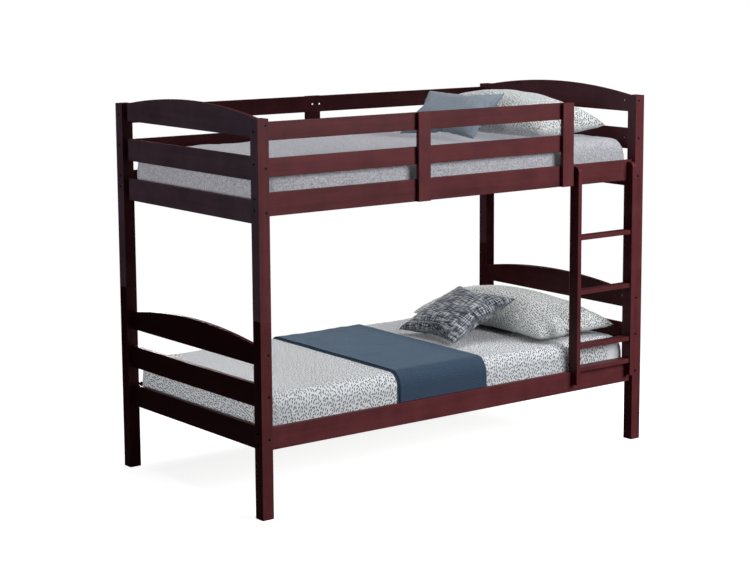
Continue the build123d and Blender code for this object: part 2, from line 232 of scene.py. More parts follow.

# %% [markdown]
# ## Worn edges
# Stain takes thinly on a rounded edge, so every board has a paler, redder line along its corners; on the
# cherry this line is also a painted highlight along the edges.
# A Bevel node gives the normal of a widely rounded edge. Where it leaves the true normal, an edge is near.


# %% Edge group
def build_edges():
    inputs = [("Reach", "value", 0.003), ("Amount", "value", 1.0), ("Breaks", "value", 60.0)]
    tree, given, result = new_group("worn_edges", inputs, [("Mask", "value")])
    wide = add(tree, "Bevel", {"Radius": given["Reach"]}, samples=4)
    true = add(tree, "NewGeometry").outputs["True Normal"]
    match = add(tree, "VectorMath", {0: wide.outputs[0], 1: true}, operation="DOT_PRODUCT").outputs["Value"]
    near = spread(tree, match, 0.995, 0.8)
    place = add(tree, "TexCoord").outputs["Object"]
    patchy = add(tree, "TexNoise", {"Vector": place, "Scale": given["Breaks"], "Detail": 3.0}).outputs[0]
    uneven = spread(tree, patchy, 0.25, 0.7, 0.45, 1.0)
    # This edge mask marks wear on the steel and pine, and on the cherry both wear and a painted highlight.
    mask = sums(tree, "MULTIPLY", sums(tree, "MULTIPLY", near, uneven), given["Amount"])
    tree.links.new(mask, result["Mask"])
    return tree


edges = build_edges()
print("built", edges.name)

# %% [markdown]
# ## Three runs of the same wood
# Posts, guard boards and stiles stand up; rails and rungs run along the bed; end rails and arches cross it.
# One builder makes the three materials, and only the direction of the stretch changes.


# %% Wood materials
def build_cherry(name, stretch):
    material, tree, shader = new_material(
        name, Coat_Roughness=0.34, IOR=1.5, Coat_IOR=1.4, Specular_IOR_Level=0.12
    )
    wood = place_group(tree, grain, {
        "Stretch": stretch,
        "Deep stain": (0.062, 0.0115, 0.0145, 1.0),
        "Thin stain": (0.125, 0.0265, 0.031, 1.0),
        "Streaks": 0.55,
        "Clouds": 0.42,
    })
    tint_mask = place_group(tree, edges, {"Reach": 0.003, "Amount": 0.4})["Mask"]
    # The paler, redder edge colour is partly stain worn thin and partly a painted highlight along the rounded
    # edges.
    colour = mixed(tree, tint_mask, wood["Colour"], (0.26, 0.062, 0.058, 1.0))
    tree.links.new(colour, shader.inputs["Base Color"])
    dull = spread(tree, wood["Clouding"], 0.0, 1.0, 0.46, 0.56)
    tree.links.new(dull, shader.inputs["Roughness"])
    coat = spread(tree, tint_mask, 0.0, 1.0, 0.06, 0.16)
    tree.links.new(coat, shader.inputs["Coat Weight"])
    bump(tree, shader, wood["Pores"], 0.00012, 0.5)
    return material


FINE = 0.055
cherry_upright = build_cherry("cherry_upright", (1.0, 1.0, FINE))
cherry_lengthwise = build_cherry("cherry_lengthwise", (FINE, 1.0, 1.0))
cherry_crosswise = build_cherry("cherry_crosswise", (1.0, FINE, 1.0))


def build_pine():
    material, tree, shader = new_material("sawn_pine", Specular_IOR_Level=0.3)
    wood = place_group(tree, grain, {
        "Stretch": (1.0, 0.06, 1.0),
        "Deep stain": (0.42, 0.25, 0.12, 1.0),
        "Thin stain": (0.72, 0.52, 0.31, 1.0),
        "Streaks": 0.9,
        "Clouds": 0.3,
    })
    tint_mask = place_group(tree, edges, {"Reach": 0.002, "Amount": 0.4})["Mask"]
    tree.links.new(mixed(tree, tint_mask, wood["Colour"], (0.8, 0.64, 0.44, 1.0)), shader.inputs["Base Color"])
    tree.links.new(spread(tree, wood["Clouding"], 0.0, 1.0, 0.6, 0.78), shader.inputs["Roughness"])
    bump(tree, shader, wood["Pores"], 0.0003, 0.8)
    return material


pine = build_pine()
print("wood finishes:", cherry_upright.name, cherry_lengthwise.name, cherry_crosswise.name, pine.name)

# %% [markdown]
# ## Steel
# The bolts are black oxide with rubbed rims. Pins, barrel nuts and hidden screws are bright zinc,
# which has fine turning marks and a faint cloudy film. Both are metals, so their colour is in the reflection.


# %% Steel materials
def build_steel(name, dark, bright, rough):
    material, tree, shader = new_material(name, Metallic=1.0)
    place = add(tree, "TexCoord").outputs["Object"]
    film = add(tree, "TexNoise", {"Vector": place, "Scale": 140.0, "Detail": 4.0}).outputs[0]
    turned = add(tree, "TexNoise", {"Vector": place, "Scale": 2400.0, "Detail": 1.0}).outputs[0]
    tint_mask = place_group(tree, edges, {"Reach": 0.0008, "Amount": 0.8, "Breaks": 300.0})["Mask"]
    base = mixed(tree, spread(tree, film, 0.35, 0.65), dark, bright)
    rubbed = mixed(tree, tint_mask, base, (0.45, 0.44, 0.43, 1.0))
    tree.links.new(rubbed, shader.inputs["Base Color"])
    tree.links.new(spread(tree, film, 0.3, 0.7, rough, rough + 0.16), shader.inputs["Roughness"])
    bump(tree, shader, turned, 0.00004, 0.6)
    return material


black_steel = build_steel("black_oxide", (0.012, 0.012, 0.013, 1.0), (0.03, 0.03, 0.032, 1.0), 0.42)
zinc_steel = build_steel("bright_zinc", (0.5, 0.5, 0.52, 1.0), (0.68, 0.69, 0.72, 1.0), 0.26)
print("steel finishes:", black_steel.name, zinc_steel.name)

# %% [markdown]
# ## Putting the finishes on the CAD nodes
# Each node's name says what it is, so a short list of word endings is enough to pick its finish.

# %% Finish every CAD node
FINISHES = (
    ("bolts", black_steel),
    ("ladder_rung_screws", black_steel),
    ("nuts", zinc_steel),
    ("pins", zinc_steel),
    ("screws", zinc_steel),
    ("slats", pine),
    ("cleats", pine),
    ("post_", cherry_upright),
    ("board", cherry_upright),
    ("stile", cherry_upright),
    ("foot_", cherry_crosswise),
    ("head_", cherry_crosswise),
    ("rail", cherry_lengthwise),
    ("rung", cherry_lengthwise),
)
SOFT = ("mattress", "sheet", "pillow", "cushion", "throw")
finished = 0
for name, thing in nodes.items():
    if any(word in name for word in SOFT):
        continue
    finish = next(material for word, material in FINISHES if word in name)
    for place in range(max(1, len(thing.data.materials))):
        if thing.data.materials:
            thing.data.materials[place] = finish
        else:
            thing.data.materials.append(finish)
    finished += 1
print("finished", finished, "timber and steel nodes")

# %% [markdown]
# ## Cloth helpers
# Cloth has its own flat measure: each point keeps where it was on the cut cloth, in metres, as a UV map.
# Prints and weaves are drawn from that map, so they stay the right size and follow every fold.


# %% Mesh helpers
def lattice(rows, columns):
    """Quads of a grid of points numbered row by row."""
    index = np.arange(rows * columns).reshape(rows, columns)
    corners = (index[:-1, :-1], index[1:, :-1], index[1:, 1:], index[:-1, 1:])
    return np.stack(corners, axis=-1).reshape(-1, 4)


def make_piece(name, points, faces, flat, material):
    """A smooth mesh with a cloth map; flat gives each point's place on the cut cloth."""
    mesh = bpy.data.meshes.new(name)
    mesh.from_pydata(points.tolist(), [], faces.tolist())
    layer = mesh.uv_layers.new(name="cloth")
    corner_points = np.zeros(len(mesh.loops), int)
    mesh.loops.foreach_get("vertex_index", corner_points)
    layer.data.foreach_set("uv", flat[corner_points].astype(np.float32).ravel())
    mesh.polygons.foreach_set("use_smooth", np.ones(len(mesh.polygons), bool))
    mesh.materials.append(material)
    mesh.update()
    piece = bpy.data.objects.new(name, mesh)
    bpy.context.scene.collection.objects.link(piece)
    return piece


def thickened(piece, thick, offset=0.0):
    """Gives a single surface the thickness of its cloth."""
    solid = piece.modifiers.new("cloth_thickness", "SOLIDIFY")
    solid.thickness = thick
    solid.offset = offset
    solid.use_even_offset = False


def rough(points, scale, seed=0.0):
    """Smooth noise at each point, about -1 to 1."""
    return np.array([noise.noise((Vector(p) * scale) + Vector((seed, seed, seed))) for p in points.tolist()])


def ramp(value, low, high):
    """0 below low, 1 above high, smooth between."""
    share = np.clip((value - low) / (high - low), 0.0, 1.0)
    return share * share * (3.0 - 2.0 * share)


# %% [markdown]
# ## Threads and prints
# Woven cloth is a fine grid of threads that cross over and under, with thick and thin places called slubs.
# The pillowcases and the lower sheet are printed with small dark leaves that point every way.
# A Voronoi texture scatters one leaf in each cell. The cell's random colour sets how far the leaf leans.
# The cells are narrow, and set a little askew to the cloth, so the leaves stay apart and form no rows.


# %% Weave and print groups
LEAF_ROWS_SLANT = 0.32
LEAF_CELL = (1.16, 0.86, 1.0)
LEAF_LEAN = (0.7, math.pi - 0.7)


def build_threads():
    inputs = [("Pitch", "value", 0.001), ("Slub", "value", 0.5)]
    outputs = [("Height", "value"), ("Lengthwise", "value"), ("Crosswise", "value")]
    tree, given, result = new_group("woven_threads", inputs, outputs)
    flat = add(tree, "UVMap", uv_map="cloth").outputs[0]
    split = add(tree, "SeparateXYZ", {0: flat})
    turn = sums(tree, "DIVIDE", math.tau / 2, given["Pitch"])
    waves = []
    for axis in (0, 1):
        phase = sums(tree, "MULTIPLY", split.outputs[axis], turn)
        waves.append(sums(tree, "ABSOLUTE", sums(tree, "SINE", phase)))
    slubs = []
    for label, stretch in (("Lengthwise", (16.0, 230.0, 1.0)), ("Crosswise", (230.0, 16.0, 1.0))):
        run = add(tree, "VectorMath", {0: flat, 1: stretch}, operation="MULTIPLY").outputs[0]
        slub = add(tree, "TexNoise", {"Vector": run, "Scale": 1.0, "Detail": 3.0}).outputs[0]
        slub = spread(tree, slub, 0.3, 0.7)
        slubs.append(slub)
        tree.links.new(slub, result[label])
    height = sums(tree, "MAXIMUM", waves[0], waves[1])
    thick = sums(tree, "MULTIPLY", sums(tree, "ADD", slubs[0], slubs[1]), given["Slub"])
    tree.links.new(sums(tree, "ADD", height, thick), result["Height"])
    return tree


def build_leaves():
    inputs = [("Spacing", "value", 0.015), ("Leaf length", "value", 0.013), ("Leaf width", "value", 0.004)]
    tree, given, result = new_group("leaf_print", inputs, [("Mask", "value"), ("Tone", "value")])
    flat = add(tree, "UVMap", uv_map="cloth").outputs[0]
    slant = {"Vector": flat, "Angle": LEAF_ROWS_SLANT}
    slanted = add(tree, "VectorRotate", slant, rotation_type="Z_AXIS").outputs[0]
    squeezed = add(tree, "VectorMath", {0: slanted, 1: LEAF_CELL}, operation="MULTIPLY").outputs[0]
    cells = add(tree, "TexVoronoi", {"Vector": squeezed, "Randomness": 0.68}, voronoi_dimensions="2D")
    tree.links.new(sums(tree, "DIVIDE", 1.0, given["Spacing"]), cells.inputs["Scale"])
    from_middle = {0: squeezed, 1: cells.outputs["Position"]}
    offset = add(tree, "VectorMath", from_middle, operation="SUBTRACT").outputs[0]
    local = add(tree, "VectorMath", {0: offset, 1: LEAF_CELL}, operation="DIVIDE").outputs[0]
    random = add(tree, "SeparateColor", {0: cells.outputs["Color"]})
    angle = spread(tree, random.outputs[0], 0.0, 1.0, *LEAF_LEAN)
    turned = add(tree, "VectorRotate", {"Vector": local, "Angle": angle}, rotation_type="Z_AXIS").outputs[0]
    split = add(tree, "SeparateXYZ", {0: turned})
    along = sums(tree, "DIVIDE", sums(tree, "ABSOLUTE", split.outputs[0]), given["Leaf length"])
    across = sums(tree, "DIVIDE", sums(tree, "ABSOLUTE", split.outputs[1]), given["Leaf width"])
    oval = sums(tree, "ADD", sums(tree, "POWER", along, 3.0), sums(tree, "POWER", across, 2.0))
    tree.links.new(spread(tree, oval, 0.2, 0.11), result["Mask"])
    tree.links.new(random.outputs[1], result["Tone"])
    return tree


threads = build_threads()
leaves = build_leaves()
print("built", threads.name, leaves.name)

# %% [markdown]
# ## Bedding cloths
# Cotton, linen and knit are rough and matt, with a little sheen where fibres stand up at a glancing angle.
# Sheen is one value for the whole cloth, so it is set on the shader itself.


# %% Cloth materials
def cloth_material(name, **shader):
    return new_material(
        name, Roughness=0.92, Specular_IOR_Level=0.12, Sheen_Roughness=0.5, **shader
    )


def build_printed(name, ground, spacing, length, width):
    material, tree, shader = cloth_material(name, Sheen_Weight=0.12)
    leaf = place_group(tree, leaves, {"Spacing": spacing, "Leaf length": length, "Leaf width": width})
    weave = place_group(tree, threads, {"Pitch": 0.0011, "Slub": 0.25})
    place = add(tree, "UVMap", uv_map="cloth").outputs[0]
    cloudy = add(tree, "TexNoise", {"Vector": place, "Scale": 26.0, "Detail": 3.0}).outputs[0]
    pale = mixed(tree, spread(tree, cloudy, 0.3, 0.7), ground, tuple(c * 0.9 for c in ground[:3]) + (1.0,))
    slubby = mixed(tree, sums(tree, "MULTIPLY", weave["Crosswise"], 0.18), pale, (0.4, 0.43, 0.47, 1.0))
    ink = mixed(tree, leaf["Tone"], (0.018, 0.02, 0.016, 1.0), (0.09, 0.088, 0.045, 1.0))
    edge = add(tree, "UVMap", uv_map="print").outputs[0]
    inside = add(tree, "SeparateXYZ", {0: edge}).outputs[0]
    mask = sums(tree, "MULTIPLY", leaf["Mask"], inside)
    tree.links.new(mixed(tree, mask, slubby, ink), shader.inputs["Base Color"])
    bump(tree, shader, weave["Height"], 0.00025, 0.35)
    return material


def build_heather():
    material, tree, shader = cloth_material("grey_heather", Sheen_Weight=0.1)
    weave = place_group(tree, threads, {"Pitch": 0.0014, "Slub": 0.5})
    place = add(tree, "UVMap", uv_map="cloth").outputs[0]
    flecked = {"Vector": place, "Scale": 130.0, "Detail": 4.0, "Roughness": 0.75}
    fleck = add(tree, "TexNoise", flecked).outputs[0]
    patch = add(tree, "TexNoise", {"Vector": place, "Scale": 48.0, "Detail": 3.0}).outputs[0]
    base = mixed(tree, spread(tree, fleck, 0.39, 0.61), (0.14, 0.142, 0.17, 1.0), (0.49, 0.49, 0.525, 1.0))
    for direction in ("Crosswise", "Lengthwise"):
        streak = sums(tree, "MULTIPLY", weave[direction], 0.36)
        base = mixed(tree, streak, base, (0.5, 0.5, 0.54, 1.0))
    darker = sums(tree, "MULTIPLY", spread(tree, patch, 0.42, 0.72), 0.34)
    tree.links.new(mixed(tree, darker, base, (0.16, 0.165, 0.19, 1.0)), shader.inputs["Base Color"])
    bump(tree, shader, sums(tree, "ADD", weave["Height"], fleck), 0.0006, 0.5)
    return material


def build_linen():
    material, tree, shader = cloth_material("blue_grey_linen", Sheen_Weight=0.15)
    weave = place_group(tree, threads, {"Pitch": 0.0016, "Slub": 0.9})
    along = mixed(tree, weave["Lengthwise"], (0.12, 0.15, 0.185, 1.0), (0.2, 0.24, 0.285, 1.0))
    both = mixed(tree, sums(tree, "MULTIPLY", weave["Crosswise"], 0.4), along, (0.24, 0.28, 0.32, 1.0))
    place = add(tree, "UVMap", uv_map="cloth").outputs[0]
    tint_mask = add(tree, "TexNoise", {"Vector": place, "Scale": 9.0, "Detail": 2.0}).outputs[0]
    shade = sums(tree, "MULTIPLY", spread(tree, tint_mask, 0.4, 0.7), 0.25)
    tree.links.new(mixed(tree, shade, both, (0.12, 0.15, 0.19, 1.0)), shader.inputs["Base Color"])
    bump(tree, shader, weave["Height"], 0.0005, 0.6)
    return material


def build_streaked():
    material, tree, shader = cloth_material("streaked_weave", Sheen_Weight=0.08)
    weave = place_group(tree, threads, {"Pitch": 0.006, "Slub": 1.1})
    place = add(tree, "UVMap", uv_map="cloth").outputs[0]
    tones = []
    for stretch in ((15.0, 175.0, 1.0), (175.0, 15.0, 1.0)):
        run = add(tree, "VectorMath", {0: place, 1: stretch}, operation="MULTIPLY").outputs[0]
        streaks = {"Vector": run, "Scale": 1.0, "Detail": 2.5, "Roughness": 0.65}
        found = add(tree, "TexNoise", streaks).outputs[0]
        tones.append(spread(tree, found, 0.42, 0.6))
    wide_run = add(tree, "VectorMath", {0: place, 1: (34.0, 6.0, 1.0)}, operation="MULTIPLY").outputs[0]
    band = add(tree, "TexNoise", {"Vector": wide_run, "Scale": 1.0, "Detail": 2.0}).outputs[0]
    fine = sums(tree, "MULTIPLY", sums(tree, "ADD", tones[0], tones[1]), 0.5)
    both = sums(tree, "MULTIPLY", fine, spread(tree, band, 0.36, 0.6, 0.7, 1.12))
    stops = add(tree, "ValToRGB", {0: both})
    ramp_stops = stops.color_ramp.elements
    ramp_stops[0].position = 0.1
    ramp_stops[0].color = (0.012, 0.014, 0.02, 1.0)
    ramp_stops[1].position = 0.8
    ramp_stops[1].color = (0.46, 0.48, 0.5, 1.0)
    middle = ramp_stops.new(0.45)
    middle.color = (0.085, 0.098, 0.125, 1.0)
    tree.links.new(stops.outputs[0], shader.inputs["Base Color"])
    bump(tree, shader, weave["Height"], 0.0012, 0.6)
    return material


KNIT_RIB = 0.0066
KNIT_STITCH = 0.0035


def build_knit():
    material, tree, shader = cloth_material("navy_knit", Sheen_Weight=0.12, Sheen_Tint=(0.55, 0.78, 1.0, 1.0))
    place = add(tree, "UVMap", uv_map="cloth").outputs[0]
    split = add(tree, "SeparateXYZ", {0: place})
    waver = add(tree, "TexNoise", {"Vector": place, "Scale": 40.0, "Detail": 2.0}).outputs[0]
    shifted = sums(tree, "ADD", split.outputs[1], sums(tree, "MULTIPLY", waver, 0.0015))
    across_ribs = sums(tree, "MULTIPLY", shifted, math.pi / KNIT_RIB)
    rib = sums(tree, "ABSOLUTE", sums(tree, "SINE", across_ribs))
    along_ribs = sums(tree, "MULTIPLY", split.outputs[0], math.pi / KNIT_STITCH)
    stitch = sums(tree, "ABSOLUTE", sums(tree, "SINE", along_ribs))
    fleck = add(tree, "TexNoise", {"Vector": place, "Scale": 240.0, "Detail": 3.0}).outputs[0]
    rise = sums(tree, "ADD", rib, sums(tree, "MULTIPLY", stitch, 0.3))
    # The ribs are coloured darker in the hollows between them and paler on their crests: painted shade in the
    # hollows, following the bump.
    ribs = mixed(tree, rib, (0.0195, 0.034, 0.06, 1.0), (0.032, 0.056, 0.092, 1.0))
    flecked = sums(tree, "MULTIPLY", spread(tree, fleck, 0.45, 0.75), 0.4)
    tree.links.new(mixed(tree, flecked, ribs, (0.074, 0.109, 0.158, 1.0)), shader.inputs["Base Color"])
    bump(tree, shader, rise, 0.0012, 0.6)
    return material


def build_ticking():
    material, tree, shader = cloth_material("mattress_knit", Sheen_Weight=0.1)
    weave = place_group(tree, threads, {"Pitch": 0.002, "Slub": 0.4})
    place = add(tree, "UVMap", uv_map="cloth").outputs[0]
    tufted = add(tree, "TexVoronoi", {"Vector": place, "Scale": 45.0}, voronoi_dimensions="2D")
    tufts = tufted.outputs["Distance"]
    knit = mixed(tree, spread(tree, tufts, 0.1, 0.6), (0.82, 0.81, 0.77, 1.0), (0.66, 0.66, 0.64, 1.0))
    slubby = mixed(tree, sums(tree, "MULTIPLY", weave["Lengthwise"], 0.2), knit, (0.55, 0.56, 0.57, 1.0))
    tree.links.new(slubby, shader.inputs["Base Color"])
    bump(tree, shader, sums(tree, "ADD", weave["Height"], tufts), 0.0006, 0.6)
    return material


pale_ground = (0.63, 0.655, 0.69, 1.0)
sprig_sheet = build_printed("sprig_cotton", pale_ground, 0.0126, 0.0112, 0.0053)
sprig_case = build_printed("sprig_pillowcase_cotton", (0.62, 0.645, 0.655, 1.0), 0.0115, 0.0100, 0.0050)
grey_heather = build_heather()
linen = build_linen()
streaked = build_streaked()
navy_knit = build_knit()
ticking = build_ticking()
print("cloths ready")

# %% [markdown]
# ## The mattresses
# Under each sheet is a quilted mattress, whose taped edge is left out: the edge is only rounded. It shows
# from below, between the slats.
# A lattice on a box is pushed round: first its corners on plan, then its top and bottom edges.
# The quilting is a shallow diamond pattern of dimples pressed into the faces.


# %% Mattress
def box_lattice(half, cell):
    """Points and quads on the six faces of a box, with shared edges."""
    counts = [max(2, round(2 * h / cell)) for h in half]
    known, points, faces = {}, [], []

    def point(i, j, k):
        key = (i, j, k)
        if key not in known:
            known[key] = len(points)
            points.append([half[n] * (2.0 * key[n] / counts[n] - 1.0) for n in range(3)])
        return known[key]

    for axis in range(3):
        u, v = (axis + 1) % 3, (axis + 2) % 3
        for end in (0, counts[axis]):
            for i in range(counts[u]):
                for j in range(counts[v]):
                    quad = []
                    for di, dj in ((0, 0), (1, 0), (1, 1), (0, 1)):
                        place = [0, 0, 0]
                        place[axis], place[u], place[v] = end, i + di, j + dj
                        quad.append(point(*place))
                    faces.append(quad if end else quad[::-1])
    return np.array(points), np.array(faces)


def rounded_block(points, half, corner, edge):
    """Rounds a box lattice: corners on plan, then the edges round its top and bottom."""
    out = points.copy()
    inner = np.array([half[0] - corner, half[1] - corner])
    core = np.clip(points[:, :2], -inner, inner)
    away = points[:, :2] - core
    reach = np.abs(away).max(axis=1)
    length = np.linalg.norm(away, axis=1)
    way = away / np.maximum(length, 1e-9)[:, None]
    rim = corner - reach
    height = half[2] - np.abs(points[:, 2])
    u, w = np.clip(edge - rim, 0.0, edge), np.clip(edge - height, 0.0, edge)
    size = np.maximum(np.hypot(u, w), 1e-9)
    bulge = np.maximum(u, w) / size
    near = (u > 0) & (w > 0)
    reach = np.where(near, corner - edge + u * bulge, reach)
    tall = np.where(near, half[2] - edge + w * bulge, np.abs(points[:, 2]))
    out[:, :2] = core + way * reach[:, None]
    out[:, 2] = np.sign(points[:, 2]) * tall
    return out


MATTRESS_GAP = 0.0035
MATTRESS_CELL = 0.016
MATTRESS_CORNER = 0.0585
MATTRESS_EDGE = 0.0545
QUILT_PITCH = 0.16
QUILT_DEEP = 0.003


def build_mattress(bunk):
    low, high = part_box(bunk + "_mattress")
    half = [(high[n] - low[n]) / 2 - MATTRESS_GAP for n in range(3)]
    centre = np.array([(high[n] + low[n]) / 2 for n in range(3)])
    lattice_points, faces = box_lattice(half, MATTRESS_CELL)
    points = rounded_block(lattice_points, half, MATTRESS_CORNER, MATTRESS_EDGE)
    flat_face = np.abs(np.abs(points[:, 2]) - half[2]) < 1e-6
    diamonds = np.abs(np.sin((points[:, 0] + points[:, 1]) * math.pi / QUILT_PITCH))
    diamonds = np.minimum(diamonds, np.abs(np.sin((points[:, 0] - points[:, 1]) * math.pi / QUILT_PITCH)))
    dimple = np.where(flat_face, QUILT_DEEP * (1.0 - ramp(diamonds, 0.0, 0.5)), 0.0)
    points[:, 2] -= np.sign(points[:, 2]) * dimple
    flat = lattice_points[:, :2] + lattice_points[:, 2:3]
    piece = make_piece(bunk + "_mattress_quilted", points + centre, faces, flat, ticking)
    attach(piece, bunk + "_mattress")
    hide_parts(bunk + "_mattress")
    print(piece.name, "faces", len(faces))
    return piece


mattresses = {bunk: build_mattress(bunk) for bunk in ("upper", "lower")}

# %% [markdown]
# ## The fitted sheets
# A fitted sheet is one flat cloth pulled over the mattress, with elastic that gathers it underneath.
# A flat grid is wrapped over the mattress by rule: along the top, round the edge, down the side and under.
# Each point keeps its flat place, so the print stays true. Small wrinkles are then added by noise.


# %% Fitted sheets
class Wrap:
    """Takes places on a flat sheet to the top, sides and underside of a bed."""

    corner, edge, tuck, under = 0.062, 0.058, 0.008, 0.05

    def __init__(self, bunk):
        low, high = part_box(bunk + "_fitted_sheet")
        self.top, self.tall = high.z, high.z - low.z - 0.0006
        self.middle = np.array([(low.x + high.x) / 2, (low.y + high.y) / 2])
        self.inner = np.array([(high.x - low.x) / 2, (high.y - low.y) / 2]) - self.corner
        flat = self.corner - self.edge
        self.stops = np.cumsum([
            flat,
            self.edge * math.pi / 2,
            self.tall - self.edge - self.tuck,
            self.tuck * math.pi / 2,
            self.under,
        ])
        self.reach = self.inner + self.stops[-1]

    def place(self, flat, lift):
        """Points in the room for flat places, lifted off the bed by lift."""
        beyond = np.maximum(np.abs(flat) - self.inner, 0.0)
        d = beyond.max(axis=1)
        least = beyond.min(axis=1) / np.maximum(d, 1e-9)
        turn = np.where(beyond[:, 0] >= beyond[:, 1], least, 2.0 - least) * math.pi / 4
        way = np.stack([np.cos(turn), np.sin(turn)], axis=1) * np.where(flat < 0, -1.0, 1.0)
        s0, s1, s2, s3, s4 = self.stops
        over = np.clip((d - s0) / self.edge, 0.0, math.pi / 2)
        back = np.clip((d - s2) / self.tuck, 0.0, math.pi / 2)
        out = np.minimum(d, s0) + self.edge * np.sin(over)
        out = out - self.tuck * (1.0 - np.cos(back)) - np.clip(d - s3, 0.0, self.under)
        down = self.edge * (1.0 - np.cos(over)) + np.clip(d - s1, 0.0, s2 - s1) + self.tuck * np.sin(back)
        lean = over + back
        core = np.clip(flat, -self.inner, self.inner) + self.middle
        square = np.sin(2.0 * turn) ** 2 * ramp(d, s0, s1 + 0.03)
        out = out * (1.0 + 0.17 * square) + lift * np.sin(lean)
        points = np.empty((len(flat), 3))
        points[:, :2] = core + way * out[:, None]
        points[:, 2] = self.top - down + lift * np.cos(lean)
        return points

    def depth(self, flat):
        """How far down the side a flat place is: 0 on the top, 1 at the tuck."""
        d = np.maximum(np.abs(flat) - self.inner, 0.0).max(axis=1)
        return np.clip((d - self.stops[0]) / (self.stops[3] - self.stops[0]), 0.0, 1.0)

    def corner_share(self, flat):
        """1 in the four corner darts, 0 elsewhere."""
        beyond = np.maximum(np.abs(flat) - self.inner, 0.0)
        return ramp(beyond.min(axis=1), 0.004, 0.03)


def wrinkles(wrap, flat, liveliness):
    """How far the sheet stands off the bed at each flat place."""
    down = wrap.depth(flat)
    pad = np.column_stack([flat, np.zeros(len(flat))])
    slow = rough(pad, 7.0, 3.0)
    ripple = rough(pad, 24.0, 11.0)
    d = np.maximum(np.abs(flat) - wrap.inner, 0.0)
    side_x = d[:, 0] > d[:, 1]
    along = np.where(side_x, flat[:, 1], flat[:, 0])
    gather = rough(np.column_stack([along, 0.12 * d.max(axis=1), np.where(side_x, 5.0, 0.0)]), 34.0, 7.0)
    near_corner = wrap.corner_share(flat)
    rim = ramp(down, 0.0, 0.1) * (1.0 - ramp(down, 0.18, 0.5))
    lift = 0.0006 + 0.0007 * (slow + 1.0) + 0.0005 * (ripple + 1.0)
    lift += liveliness * 0.0022 * rim * (ripple + slow + 0.8)
    lift += liveliness * 0.0018 * ramp(down, 0.3, 0.9) * (gather + 0.9)
    lift += 0.002 * near_corner * down * (gather + 1.0)
    return np.clip(lift, 0.0003, 0.0085)


SHEET_CELL = 0.0105


SHEET_THICK = 0.0012
PLAIN_STRIP = (-0.045, -0.035)


def build_sheet(bunk, material, liveliness):
    wrap = Wrap(bunk)
    counts = [int(2 * r / SHEET_CELL) for r in wrap.reach]
    a = np.linspace(-wrap.reach[0], wrap.reach[0], counts[0] + 1)
    b = np.linspace(-wrap.reach[1], wrap.reach[1], counts[1] + 1)
    flat = np.stack(np.meshgrid(a, b, indexing="ij"), axis=-1).reshape(-1, 2)
    points = wrap.place(flat, wrinkles(wrap, flat, liveliness))
    piece = make_piece(bunk + "_sheet_cloth", points, lattice(len(a), len(b)), flat, material)
    printed = piece.data.uv_layers.new(name="print")
    corner_points = np.zeros(len(piece.data.loops), int)
    piece.data.loops.foreach_get("vertex_index", corner_points)
    at_head = ramp(flat[:, 0] - wrap.inner[0], *PLAIN_STRIP) * ramp(wrap.depth(flat), 0.25, 0.35)
    on_side = np.abs(flat[:, 1]) > wrap.inner[1]
    shown = 1.0 - np.maximum(wrap.corner_share(flat) * (flat[:, 0] > 0), at_head * on_side)
    printed.data.foreach_set("uv", np.column_stack([shown, shown])[corner_points].astype(np.float32).ravel())
    thickened(piece, SHEET_THICK, -1.0)
    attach(piece, bunk + "_mattress")
    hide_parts(bunk + "_fitted_sheet")
    print(piece.name, "cut", [round(2 * float(r), 3) for r in wrap.reach], "points", len(points))
    return wrap, piece


build_sheet("upper", grey_heather, 1.6)
lower_wrap, lower_sheet = build_sheet("lower", sprig_sheet, 0.7)

# %% [markdown]
# ## The throw
# The navy throw is a knitted blanket folded once along its length and laid across the lower bed.
# Its fold is on the head side. On the foot side its two edges lie one on the other, and both show.
# It uses the sheet's own wrap, a few millimetres further out, so it lies on the bed without cutting in.


# %% Throw
THROW_PLY = 0.0026
THROW_SLANT = 0.03
THROW_STEPS = 44
THROW_RUNS = 126
LOW_PLY = 0.0004 + THROW_PLY / 2
HIGH_PLY = LOW_PLY + THROW_PLY + 0.0007


def throw_section(width):
    """The fold's cross-section: distance from the foot edge and height off the bed, top edge first."""
    across = np.linspace(0.009, width, THROW_STEPS)
    hem = 0.0011 * (1.0 - ramp(across, 0.012, 0.02))
    puff = 0.0012 * ramp(across, width - 0.05, width)
    section = list(zip(across, HIGH_PLY + hem + puff))
    bend = (HIGH_PLY + 0.0012 - LOW_PLY) / 2
    for step in range(1, 8):
        turn = math.pi * step / 8
        section.append((width + bend * 1.6 * math.sin(turn), LOW_PLY + bend * (1.0 + math.cos(turn))))
    section += [(x, LOW_PLY) for x in np.linspace(width, 0.0, THROW_STEPS)]
    return np.array(section)


